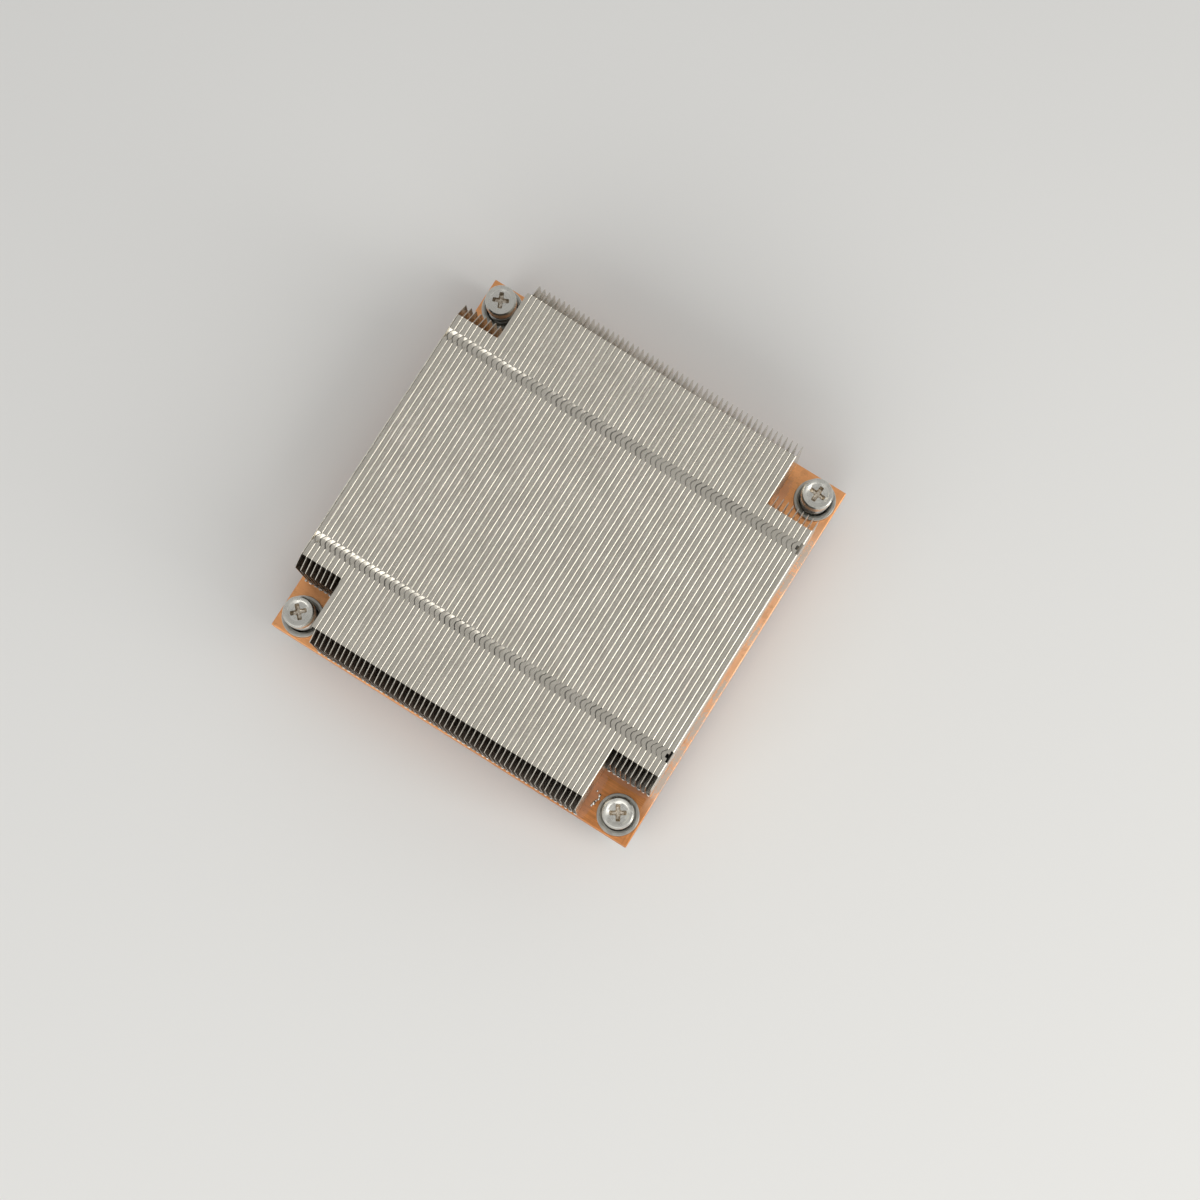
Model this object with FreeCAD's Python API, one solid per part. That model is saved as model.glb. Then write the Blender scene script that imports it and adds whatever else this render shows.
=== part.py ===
import FreeCAD, Part

import math
import os

# A passive heatsink for a one-unit server processor. A flat copper plate carries a stack of thin
# aluminium fins. Each fin is a strip folded into a channel section, and its top flange locks into
# the fin beside it with two tongues, so that the stack holds together before it is soldered down.
# A spring-loaded captive screw stands in a turned cup in each corner of the plate.
#
# All sizes are in millimetres. The origin is the centre of the face that meets the processor,
# +Z points up through the fins, the fins run along Y and are stacked along X.

V = FreeCAD.Vector

# Plate
plate_side = 90.0
plate_thick = 5.0
plate_edge_bevel = 0.3
overall_height = 27.0
screw_spacing = 80.0
cup_hole_r = 4.6

# Fin stack
sheet = 0.3
fin_pitch = 1.225
short_count = 9
long_count = 54
long_length = 89.2
short_length = 66.0
nose_run = 3.0
nose_drop = 2.2
flange_gap = 0.05
long_fins_per_node = 3

# Tongues and the windows that they lock into
row_offset = 25.4
tongue_root = 2.3
tongue_reach = 0.9
end_tongue_reach = 0.5
window_gap = 0.05

# Cup for the spring
cup_r = 4.55
cup_rim_height = 1.1
cup_bore_r = 3.45
cup_floor_thick = 0.8
cup_drop = 1.6
cup_floor_hole_r = 2.3

# Captive screw
head_r = 3.4
head_height = 3.0
head_top = plate_thick + 8.4
shank_r = 1.8
thread_r = 2.0
groove_r = 1.55
groove_slack = 0.05
tip_below_plate = 6.5
recess_span = 3.8
recess_arm = 0.95
recess_depth = 1.7

# Retaining ring
ring_outer_r = 3.1
ring_inner_r = 1.6
ring_thick = 0.6
ring_mouth = 3.0

# Spring
wire = 0.9
spring_outer_r = 3.2
active_turns = 3
end_turns = 0.75
steps_per_turn = 8
wire_sides = 4

# What follows from the driving dimensions
fin_height = overall_height - plate_thick
fin_count = short_count + long_count + short_count
stack_width = (fin_count - 1) * fin_pitch + sheet
last_wall_x = stack_width / 2
cup_floor_z = -cup_drop + cup_floor_thick
head_under = head_top - head_height
ring_top = -cup_drop
spring_length = head_under - cup_floor_z

corners = {
    "front_left": (-1, -1),
    "front_right": (1, -1),
    "back_right": (1, 1),
    "back_left": (-1, 1),
}
# How far each cross recess is turned, in degrees
recess_turn = {
    "front_left": 44.0,
    "front_right": 32.0,
    "back_right": -4.0,
    "back_left": 24.0,
}


def corner_point(name, z=0.0):
    """Where a corner's screw axis crosses the height z."""
    side_x, side_y = corners[name]
    return V(side_x * screw_spacing / 2, side_y * screw_spacing / 2, z)


def prism(points, direction):
    """The solid swept by a closed outline along a direction."""
    return Part.Face(Part.makePolygon(points + points[:1])).extrude(direction)


def turned(profile):
    """The solid made by turning (radius, height) points about the Z axis."""
    points = [V(radius, 0, height) for radius, height in profile]
    outline = Part.Face(Part.makePolygon(points + points[:1]))
    return outline.revolve(V(0, 0, 0), V(0, 0, 1), 360)


def base_plate():
    """The copper plate, with a hole for a cup in each corner."""
    plate = Part.makeBox(plate_side, plate_side, plate_thick, V(-plate_side / 2, -plate_side / 2, 0))
    uprights = [edge for edge in plate.Edges if abs(edge.tangentAt(edge.FirstParameter).z) > 0.9]
    plate = plate.makeChamfer(plate_edge_bevel, uprights)
    for name in corners:
        plate = plate.cut(Part.makeCylinder(cup_hole_r, plate_thick, corner_point(name)))
    return plate


def web(length, wall_x):
    """A fin's upright wall. Its upper corners are cut off at a slant, and wall_x is its right face."""
    half = length / 2
    shoulder = plate_thick + fin_height - nose_drop
    outline = [
        (-half, plate_thick),
        (half, plate_thick),
        (half, shoulder),
        (half - nose_run, overall_height),
        (nose_run - half, overall_height),
        (-half, shoulder),
    ]
    return prism([V(wall_x - sheet, y, z) for y, z in outline], V(sheet, 0, 0))


def tongue_outline(root_x, reach, centre_y, grow):
    """A pointed tongue that reaches to -X from root_x, made wider and longer by grow."""
    root = tongue_root / 2 + grow
    return [
        V(root_x, centre_y - root, 0),
        V(root_x, centre_y + root, 0),
        V(root_x - reach - grow, centre_y, 0),
    ]


def top_flange(length, wall_x, reach):
    """The folded top of a fin with its two tongues, before the windows are cut."""
    half = length / 2 - nose_run
    edge_x = wall_x - fin_pitch + flange_gap
    floor_z = overall_height - sheet
    flange = Part.makeBox(wall_x - edge_x, 2 * half, sheet, V(edge_x, -half, floor_z))
    for centre_y in (-row_offset, row_offset):
        tongue = prism(tongue_outline(edge_x, reach, centre_y, 0.0), V(0, 0, sheet))
        tongue.translate(V(0, 0, floor_z))
        flange = flange.fuse(tongue)
    return flange


def foot_flange(length, wall_x):
    """The folded foot that is soldered to the plate."""
    edge_x = wall_x - fin_pitch + flange_gap
    return Part.makeBox(wall_x - edge_x, length, sheet, V(edge_x, -length / 2, plate_thick))


def windows(wall_x):
    """The openings in the fold that take the next fin's tongues."""
    found = []
    for centre_y in (-row_offset, row_offset):
        opening = tongue_outline(wall_x + flange_gap, tongue_reach, centre_y, window_gap)
        cutter = prism(opening, V(0, 0, 2 * sheet))
        cutter.translate(V(0, 0, overall_height - sheet))
        found.append(cutter)
    return found


def folded_fin(length, reach=tongue_reach):
    """One fin with its right face at x = 0: wall, top flange, foot, tongues and windows."""
    fin = web(length, 0.0).fuse([top_flange(length, 0.0, reach), foot_flange(length, 0.0)])
    return fin.cut(windows(0.0)).removeSplitter()


def end_fin():
    """The flat strip that closes the left side of the stack, notched for the first fin's tongues."""
    return web(short_length, 0.0).cut(windows(0.0)).removeSplitter()


def wall_x(index):
    """The right face of a fin, counted from the left of the stack."""
    return last_wall_x - (fin_count - 1 - index) * fin_pitch


def placed(shape, index):
    """A copy of a fin, moved to its place in the stack."""
    copy = shape.copy()
    copy.translate(V(wall_x(index), 0, 0))
    return copy


def fin_nodes():
    """Every fin by node name. The short fins stand alone and the long ones stand in small packs."""
    short = folded_fin(short_length)
    long = folded_fin(long_length)
    nodes = {"end_fin": placed(end_fin(), 0)}
    nodes["short_fin_left_1"] = placed(folded_fin(short_length, end_tongue_reach), 1)
    for number in range(2, short_count):
        nodes[f"short_fin_left_{number}"] = placed(short, number)
    for pack in range(long_count // long_fins_per_node):
        first = short_count + pack * long_fins_per_node
        fins = [placed(long, first + step) for step in range(long_fins_per_node)]
        nodes[f"long_fins_{pack + 1:02d}"] = Part.makeCompound(fins)
    for number in range(1, short_count + 1):
        index = short_count + long_count + number - 1
        nodes[f"short_fin_right_{number}"] = placed(short, index)
    return nodes


def spring_cup():
    """A turned cup, pressed through the plate, that carries the spring on its floor."""
    rim_z = plate_thick + cup_rim_height
    return turned(
        [
            (cup_bore_r, rim_z),
            (cup_r, rim_z),
            (cup_r, -cup_drop),
            (cup_floor_hole_r, -cup_drop),
            (cup_floor_hole_r, cup_floor_z),
            (cup_bore_r, cup_floor_z),
        ]
    )


def cross_recess():
    """The cutter for the cross in a screw's head: two slots at right angles."""
    floor_z = head_top - recess_depth
    slot = V(-recess_span / 2, -recess_arm / 2, floor_z)
    along_x = Part.makeBox(recess_span, recess_arm, recess_depth, slot)
    along_y = along_x.copy()
    along_y.rotate(V(0, 0, 0), V(0, 0, 1), 90)
    return along_x.fuse(along_y)


def captive_screw(name):
    """A screw with a tall round head, a cross recess, a groove for the ring and a plain threaded end."""
    tip_z = -tip_below_plate
    groove_top = ring_top + groove_slack
    groove_foot = ring_top - ring_thick - groove_slack
    body = turned(
        [
            (0, head_top),
            (head_r, head_top),
            (head_r, head_under),
            (shank_r, head_under),
            (shank_r, groove_top),
            (groove_r, groove_top),
            (groove_r, groove_foot),
            (thread_r, groove_foot),
            (thread_r, tip_z),
            (0, tip_z),
        ]
    )
    body = body.cut(cross_recess())
    body.rotate(V(0, 0, 0), V(0, 0, 1), recess_turn[name])
    body.translate(corner_point(name))
    return body


def retaining_ring(name):
    """The open ring that snaps into the screw's groove under the cup."""
    ring = Part.makeCylinder(ring_outer_r, ring_thick).cut(Part.makeCylinder(ring_inner_r, ring_thick))
    mouth = Part.makeBox(2 * ring_outer_r, ring_mouth, ring_thick, V(0, -ring_mouth / 2, 0))
    ring = ring.cut(mouth)
    ring.translate(corner_point(name, ring_top - ring_thick))
    return ring


def spring_height(turn):
    """How high the wire's centre is after a number of turns. The end turns lie flat."""
    lift = spring_length - wire
    return wire / 2 + lift * min(max((turn - end_turns / 2) / (active_turns + end_turns), 0.0), 1.0)


def wire_section(turn):
    """The corners of the wire's section, in the plane through the spring's axis."""
    angle = 2 * math.pi * turn
    middle_r = spring_outer_r - wire / 2
    corner_r = wire / 2 / math.cos(math.pi / wire_sides)
    corners_here = []
    for side in range(wire_sides):
        slant = 2 * math.pi * (side + 0.5) / wire_sides
        radius = middle_r + corner_r * math.cos(slant)
        height = spring_height(turn) + corner_r * math.sin(slant)
        corners_here.append(V(radius * math.cos(angle), radius * math.sin(angle), height))
    return corners_here


def triangle(a, b, c):
    """A flat three-cornered face."""
    return Part.Face(Part.makePolygon([a, b, c, a]))


def compression_spring(name):
    """A coil spring with flat ends, as a closed shell of small flat faces."""
    turns = active_turns + 2 * end_turns
    rings = [wire_section(step / steps_per_turn) for step in range(int(turns * steps_per_turn) + 1)]
    faces = [Part.Face(Part.makePolygon(ring + ring[:1])) for ring in (rings[0], rings[-1])]
    for ring, ahead in zip(rings, rings[1:]):
        for side in range(wire_sides):
            after = (side + 1) % wire_sides
            faces.append(triangle(ring[side], ring[after], ahead[after]))
            faces.append(triangle(ring[side], ahead[after], ahead[side]))
    spring = Part.Solid(Part.Shell(faces))
    if spring.Volume < 0:
        spring.reverse()
    spring.translate(corner_point(name, cup_floor_z))
    return spring


def fastener_nodes():
    """The cups, springs, screws and rings by node name."""
    cups = []
    nodes = {}
    for name in corners:
        cup = spring_cup()
        cup.translate(corner_point(name))
        cups.append(cup)
        nodes[f"spring_{name}"] = compression_spring(name)
        nodes[f"captive_screw_{name}"] = captive_screw(name)
        nodes[f"retaining_ring_{name}"] = retaining_ring(name)
    nodes["spring_cups"] = Part.makeCompound(cups)
    return nodes


def main():
    os.makedirs("parts", exist_ok=True)
    nodes = {"base_plate": base_plate()}
    nodes.update(fin_nodes())
    nodes.update(fastener_nodes())
    for name, shape in nodes.items():
        shape.exportStep(f"parts/{name}.step")
        print(f"{name:32s} {len(shape.Solids)} solids, {shape.Volume:10.2f} mm3, valid {shape.isValid()}")


main()
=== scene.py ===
"""Looks of a passive heatsink for a server processor.

A stack of thin folded aluminium fins is soldered to a copper plate. Each fin hooks into the one
beside it with two tongues, and a captive screw with a spring stands in a turned cup in each corner.
Shapes are modelled in millimetres and set down in metres when they are finished.
"""

import logging
import math
import random
from dataclasses import dataclass, field
from enum import Enum
from functools import cache
from typing import Any, Callable, Iterable, Iterator

import bmesh
import bpy
from mathutils import Matrix, Vector


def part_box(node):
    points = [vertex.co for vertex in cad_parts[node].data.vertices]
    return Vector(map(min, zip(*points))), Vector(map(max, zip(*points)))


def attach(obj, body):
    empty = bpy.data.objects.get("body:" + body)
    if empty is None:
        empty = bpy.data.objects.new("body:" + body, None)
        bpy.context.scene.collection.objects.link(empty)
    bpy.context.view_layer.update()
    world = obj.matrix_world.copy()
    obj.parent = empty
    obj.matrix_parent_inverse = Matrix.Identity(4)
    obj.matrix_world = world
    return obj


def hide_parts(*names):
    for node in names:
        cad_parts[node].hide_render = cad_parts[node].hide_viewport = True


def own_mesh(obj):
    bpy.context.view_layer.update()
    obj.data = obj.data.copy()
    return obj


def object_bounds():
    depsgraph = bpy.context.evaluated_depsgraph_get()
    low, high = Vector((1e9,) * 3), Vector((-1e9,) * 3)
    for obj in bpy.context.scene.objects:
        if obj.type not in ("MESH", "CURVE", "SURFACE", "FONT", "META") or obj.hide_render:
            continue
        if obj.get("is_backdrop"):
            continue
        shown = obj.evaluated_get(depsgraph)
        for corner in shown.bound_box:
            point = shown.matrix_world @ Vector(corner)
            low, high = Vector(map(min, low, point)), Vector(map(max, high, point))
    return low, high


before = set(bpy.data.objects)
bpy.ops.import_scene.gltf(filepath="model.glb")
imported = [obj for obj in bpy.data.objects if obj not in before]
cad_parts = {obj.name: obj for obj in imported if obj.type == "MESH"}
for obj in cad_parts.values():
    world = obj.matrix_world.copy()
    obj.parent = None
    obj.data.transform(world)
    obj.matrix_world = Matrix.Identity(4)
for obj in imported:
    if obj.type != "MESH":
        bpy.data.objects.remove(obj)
CAD_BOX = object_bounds()

LOG = logging.getLogger("heatsink")
MILLIMETRE = 0.001
TINY = 0.0005  # millimetres: closer than this, two points are one
NODES_IN_ROW = 8
NODE_WIDTH = 220
NODE_HEIGHT = 260

Pair = tuple[float, float]
Point = tuple[float, float, float]
Colour = tuple[float, float, float]
Test = Callable[[Any], bool]
Node = bpy.types.Node
Socket = bpy.types.NodeSocket
Tree = bpy.types.NodeTree
Material = bpy.types.Material
Piece = bpy.types.Object


class Corner(Enum):
    """The four corners of the plate, seen from above, by the signs of X and Y."""

    FRONT_LEFT = (-1, -1)
    FRONT_RIGHT = (1, -1)
    BACK_RIGHT = (1, 1)
    BACK_LEFT = (-1, 1)

    @property
    def label(self) -> str:
        """The corner's name as the CAD nodes write it."""
        return self.name.lower()


class EdgeBreak(Enum):
    """What is done to the sharp edges of a turned piece."""

    SHARP = "left as turned"
    EASED = "eased a little"


# ---------------------------------------------------------------- shader tools


class NodeSheet:
    """Places nodes in one tree and joins their sockets."""

    def __init__(self, tree: Tree) -> None:
        """Starts on the node tree of a material, world or group."""
        self.tree = tree
        self.count = 0

    def add(self, kind: str, inputs: dict[Any, Any] | None = None, **settings: Any) -> Node:
        """Adds a node.

        Args:
            kind: The node's type name without the ShaderNode prefix.
            inputs: A value or an output socket for each named or numbered input.
            settings: The node's own properties.

        Returns:
            The new node.
        """
        node = self.tree.nodes.new("ShaderNode" + kind)
        self.count += 1
        row, column = divmod(self.count, NODES_IN_ROW)
        node.location = (NODE_WIDTH * column, -NODE_HEIGHT * row)
        for name, value in settings.items():
            setattr(node, name, value)
        for key, value in (inputs or {}).items():
            self.feed(node.inputs[key], value)
        return node

    def feed(self, socket: Socket, value: Any) -> None:
        """Links an output to a socket, or writes a plain value in it.

        Args:
            socket: The input that is fed.
            value: The output or the value.
        """
        if isinstance(value, Socket):
            self.tree.links.new(value, socket)
        else:
            socket.default_value = value

    def math(self, operation: str, first: Any, second: Any = 0.0) -> Socket:
        """One sum on two values or sockets."""
        return self.add("Math", {0: first, 1: second}, operation=operation).outputs[0]

    def weighed(self, *parts: tuple[Any, float]) -> Socket:
        """A sum of several values.

        Args:
            parts: Each value with its weight.

        Returns:
            The sum's socket.
        """
        total, *others = [self.math("MULTIPLY", value, weight) for value, weight in parts]
        for other in others:
            total = self.math("ADD", total, other)
        return total

    def vector_math(self, operation: str, first: Any, second: Point | Socket) -> Socket:
        """One sum on two vectors or sockets."""
        return self.add("VectorMath", {0: first, 1: second}, operation=operation).outputs[0]

    def length_of(self, vector: Socket) -> Socket:
        """A vector's length."""
        return self.add("VectorMath", {0: vector}, operation="LENGTH").outputs["Value"]

    def noise(self, vector: Socket, scale: Any, detail: float, roughness: float = 0.5) -> Socket:
        """Cloudy noise from 0 to 1, with as many clouds in a unit as the scale says."""
        inputs = {"Vector": vector, "Scale": scale, "Detail": detail, "Roughness": roughness}
        return self.add("TexNoise", inputs).outputs["Fac"]

    def blend(self, share: Any, first: Any, second: Any) -> Socket:
        """A mix of two colours.

        Args:
            share: How much of the second colour shows.
            first: A colour or socket.
            second: A colour or socket.

        Returns:
            The mixed colour's socket.
        """
        node = self.add("Mix", data_type="RGBA")
        self.feed(node.inputs[0], share)
        self.feed(node.inputs[6], first)
        self.feed(node.inputs[7], second)
        return node.outputs[2]

    def ramp(
        self, value: Any, low: float, high: float, to_low: float = 0.0, to_high: float = 1.0
    ) -> Socket:
        """A value stretched smoothly, so that low gives to_low and high gives to_high."""
        inputs = {0: value, 1: low, 2: high, 3: to_low, 4: to_high}
        return self.add("MapRange", inputs, interpolation_type="SMOOTHSTEP").outputs[0]

    def millimetres(self, stretch: Point = (1.0, 1.0, 1.0), turn: float = 0.0) -> Socket:
        """The place on the piece in millimetres.

        Args:
            stretch: What each direction is multiplied by.
            turn: An angle about Z in radians.

        Returns:
            The vector's socket.
        """
        place = self.add("TexCoord").outputs["Object"]
        scale = tuple(s / MILLIMETRE for s in stretch)
        inputs = {"Vector": place, "Scale": scale, "Rotation": (0.0, 0.0, turn)}
        return self.add("Mapping", inputs).outputs[0]

    def place(self) -> tuple[Socket, Socket, Socket]:
        """The X, Y and Z of the place on the piece, in millimetres."""
        return tuple(self.add("SeparateXYZ", {0: self.millimetres()}).outputs)


def opaque(colour: Colour) -> tuple[float, float, float, float]:
    """The same colour with full opacity."""
    return (*colour, 1.0)


class GroupSheet(NodeSheet):
    """The node sheet of an effect that several finishes share."""

    def __init__(self, name: str, **inputs: float | Point) -> None:
        """Makes the group and its inputs.

        Args:
            name: The group's name.
            inputs: The usual value of each input, with underscores for spaces.
        """
        super().__init__(bpy.data.node_groups.new(name, "ShaderNodeTree"))
        for key, usual in inputs.items():
            kind = "NodeSocketVector" if isinstance(usual, tuple) else "NodeSocketFloat"
            label = key.replace("_", " ")
            socket = self.tree.interface.new_socket(label, in_out="INPUT", socket_type=kind)
            socket.default_value = usual
        self.given = self.tree.nodes.new("NodeGroupInput").outputs

    def finished(self, **outputs: Socket) -> Tree:
        """Makes the group's outputs and joins them.

        Args:
            outputs: What each output gives.

        Returns:
            The group's tree.
        """
        for label in outputs:
            self.tree.interface.new_socket(label, in_out="OUTPUT", socket_type="NodeSocketFloat")
        made = self.tree.nodes.new("NodeGroupOutput")
        for label, value in outputs.items():
            self.feed(made.inputs[label], value)
        return self.tree


@cache
def brushed_lines() -> Tree:
    """Fine parallel lines, as rolling, turning or milling leaves them on metal.

    Returns:
        The node group, with the mask and height of two stretched noises.
    """
    sheet = GroupSheet("brushed_lines", Lines_per_mm=(0.2, 8.0, 1.0), Depth=1.0)
    along = sheet.vector_math("MULTIPLY", sheet.millimetres(), sheet.given["Lines per mm"])
    coarse = sheet.noise(along, 0.35, 3.0)
    fine = sheet.noise(along, 1.0, 4.0, 0.6)
    both = sheet.weighed((coarse, 0.45), (fine, 0.55))
    height = sheet.math("MULTIPLY", both, sheet.given["Depth"])
    return sheet.finished(Mask=sheet.ramp(both, 0.33, 0.67), Height=height)


@cache
def cloudy_tone() -> Tree:
    """Soft changes of tone over a few millimetres, as handling and solder flux leave them.

    Returns:
        The node group, with the mask of a slow noise.
    """
    sheet = GroupSheet("cloudy_tone", Clouds_per_mm=0.25)
    slow = sheet.noise(sheet.millimetres(), sheet.given["Clouds per mm"], 5.0, 0.62)
    return sheet.finished(Mask=sheet.ramp(slow, 0.34, 0.66))


@cache
def ragged_patch() -> Tree:
    """A patch with an uneven edge at one place, such as a smear of solder.

    Returns:
        The node group, with the mask of a distance that noise upsets.
    """
    sheet = GroupSheet(
        "ragged_patch",
        Centre=(0.0, 0.0, 0.0),
        Half_size=(1.0, 1.0, 100.0),
        Raggedness=1.5,
        Grain_per_mm=2.6,
    )
    spot = sheet.millimetres()
    away = sheet.vector_math("SUBTRACT", spot, sheet.given["Centre"])
    distance = sheet.length_of(sheet.vector_math("DIVIDE", away, sheet.given["Half size"]))
    upset = sheet.noise(spot, sheet.given["Grain per mm"], 5.0, 0.7)
    upset = sheet.math("SUBTRACT", upset, 0.5)
    shift = sheet.math("MULTIPLY", upset, sheet.given["Raggedness"])
    return sheet.finished(Mask=sheet.ramp(sheet.math("ADD", distance, shift), 1.1, 0.8))


@cache
def fine_scratches() -> Tree:
    """Short thin scratches that cross each other, as loose handling leaves them.

    Returns:
        The node group, with the mask of two sets of long thin cells.
    """
    sheet = GroupSheet("fine_scratches", Scratches_per_mm=0.8)
    found = []
    for turn in (0.5, -0.9):
        spot = sheet.millimetres((1.2, 14.0, 1.0), turn)
        cells = sheet.noise(spot, sheet.given["Scratches per mm"], 1.0)
        found.append(sheet.ramp(cells, 0.68, 0.74))
    return sheet.finished(Mask=sheet.math("MAXIMUM", *found))


@cache
def turned_rings() -> Tree:
    """Fine rings round an upright axis, as a lathe leaves them.

    Returns:
        The node group, with the mask of noise read by the distance from the axis.
    """
    sheet = GroupSheet("turned_rings", Axis=(0.0, 0.0, 0.0), Rings_per_mm=7.0)
    away = sheet.vector_math("SUBTRACT", sheet.millimetres(), sheet.given["Axis"])
    radius = sheet.length_of(sheet.vector_math("MULTIPLY", away, (1.0, 1.0, 0.0)))
    inputs = {"W": radius, "Scale": sheet.given["Rings per mm"], "Detail": 3.0}
    rings = sheet.add("TexNoise", inputs, noise_dimensions="1D").outputs["Fac"]
    return sheet.finished(Mask=sheet.ramp(rings, 0.35, 0.65))


class MetalSheet(NodeSheet):
    """The node sheet of one metal finish, with its shader in place."""

    def __init__(self, name: str, metallic: float = 1.0) -> None:
        """Makes the material and its shader.

        Args:
            name: The material's name.
            metallic: How metallic it is.
        """
        self.material = bpy.data.materials.new(name)
        self.material.use_nodes = True
        self.material.node_tree.nodes.clear()
        super().__init__(self.material.node_tree)
        self.shader = self.add("BsdfPrincipled", {"Metallic": metallic})
        out = self.add("OutputMaterial", {"Surface": self.shader.outputs[0]})
        out.is_active_output = True

    def effect(self, tree: Tree, **inputs: Any) -> Node:
        """Places a shared effect.

        Args:
            tree: The effect's node group.
            inputs: Its inputs, with underscores for spaces.

        Returns:
            The group node.
        """
        node = self.add("Group", node_tree=tree)
        for name, value in inputs.items():
            self.feed(node.inputs[name.replace("_", " ")], value)
        return node

    def mask(self, tree: Tree, **inputs: Any) -> Socket:
        """Places a shared effect and gives its mask."""
        return self.effect(tree, **inputs).outputs["Mask"]

    def surface(
        self, colour: Any, roughness: Any, height: Any = None, depth: float = 0.0
    ) -> Material:
        """Joins the finish to the shader.

        Args:
            colour: The base colour.
            roughness: The roughness.
            height: The height of the fine relief, from 0 to 1.
            depth: How deep the relief is, in millimetres.

        Returns:
            The finished material.
        """
        self.feed(self.shader.inputs["Base Color"], colour)
        self.feed(self.shader.inputs["Roughness"], roughness)
        if height is not None:
            inputs = {"Strength": 1.0, "Distance": depth * MILLIMETRE, "Height": height}
            self.feed(self.shader.inputs["Normal"], self.add("Bump", inputs).outputs[0])
        return self.material


# ---------------------------------------------------------------- finishes


@dataclass(frozen=True)
class AluminiumFinish:
    """Thin rolled aluminium strip, a little warm in colour, with shade painted down between the
    fins.
    """

    light: Colour = (0.74, 0.70, 0.62)
    dark: Colour = (0.62, 0.585, 0.51)
    # Painted shade colour for the sides of the walls down in the channels.
    shaded: Colour = (0.13, 0.095, 0.07)
    fin_top: float = 27.0
    shade_start: float = 0.4
    shade_end: float = 2.4
    painted_shade_metallic: float = 0.15
    half_inside: float = 43.2
    half_inside_ends: float = 32.4
    notch_y: float = 33.05
    shade_clear_y: float = 25.0
    shade_full_y: float = 5.0
    hatch_angle: float = 52.0
    roughness: Pair = (0.2, 0.3)
    relief: float = 0.0025

    def material(self) -> Material:
        """Makes the material.

        Returns:
            The finished material.
        """
        sheet = MetalSheet("rolled_aluminium")
        rolled = sheet.effect(brushed_lines(), Lines_per_mm=(9.0, 0.35, 0.5))
        lines = rolled.outputs["Mask"]
        clouds = sheet.mask(cloudy_tone(), Clouds_per_mm=0.16)
        scratches = sheet.mask(fine_scratches(), Scratches_per_mm=0.9)
        hatch = self.hatch(sheet)
        tone = sheet.weighed((lines, 0.25), (clouds, 0.45), (hatch, 0.2))
        colour = sheet.blend(tone, opaque(self.dark), opaque(self.light))
        # Painted shade: the channel sides of the walls turn dark and less metallic below the top,
        # most towards the front.
        hidden = self.hidden(sheet)
        colour = sheet.blend(hidden, colour, opaque(self.shaded))
        metallic = sheet.ramp(hidden, 0.0, 1.0, 1.0, self.painted_shade_metallic)
        sheet.feed(sheet.shader.inputs["Metallic"], metallic)
        rough = sheet.ramp(lines, 0.0, 1.0, *self.roughness)
        rough = sheet.weighed((rough, 1.0), (scratches, -0.12))
        relief = sheet.weighed((rolled.outputs["Height"], 1.0), (hatch, 0.5))
        return sheet.surface(colour, rough, relief, self.relief)

    def hatch(self, sheet: MetalSheet) -> Socket:
        """The slanting marks that the rolls leave on the strip.

        Args:
            sheet: The sheet that they are worked out on.

        Returns:
            The socket of the marks, from 0 to 1.
        """
        spot = sheet.millimetres(turn=math.radians(self.hatch_angle))
        inputs = {"Vector": spot, "Scale": 1.15, "Distortion": 2.2, "Detail": 2.0}
        return sheet.add("TexWave", {**inputs, "Detail Scale": 2.5}).outputs["Fac"]

    def hidden(self, sheet: MetalSheet) -> Socket:
        """Finds the sides of the walls down in the channels, where shade is painted: darker and
        less metallic, most towards the front.

        Args:
            sheet: The sheet that it is worked out on.

        Returns:
            The mask's socket.
        """
        x, y, z = sheet.place()
        low = sheet.ramp(z, self.fin_top - self.shade_start, self.fin_top - self.shade_end)
        away = sheet.math("ABSOLUTE", y)
        limits = (self.half_inside, self.half_inside_ends)
        limit = sheet.ramp(away, self.notch_y, self.notch_y + 0.02, *limits)
        inside = sheet.math("LESS_THAN", sheet.math("ABSOLUTE", x), limit)
        facing = sheet.add("SeparateXYZ", {0: sheet.add("TexCoord").outputs["Normal"]}).outputs[0]
        sideways = sheet.math("GREATER_THAN", sheet.math("ABSOLUTE", facing), 0.8)
        mask = sheet.math("MULTIPLY", sheet.math("MULTIPLY", low, inside), sideways)
        return sheet.math("MULTIPLY", mask, sheet.ramp(y, self.shade_clear_y, self.shade_full_y))


@dataclass(frozen=True)
class Smear:
    """One smear of solder or flux on the plate, in millimetres."""

    centre: Pair
    half_size: Pair
    raggedness: float = 5.0


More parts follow.
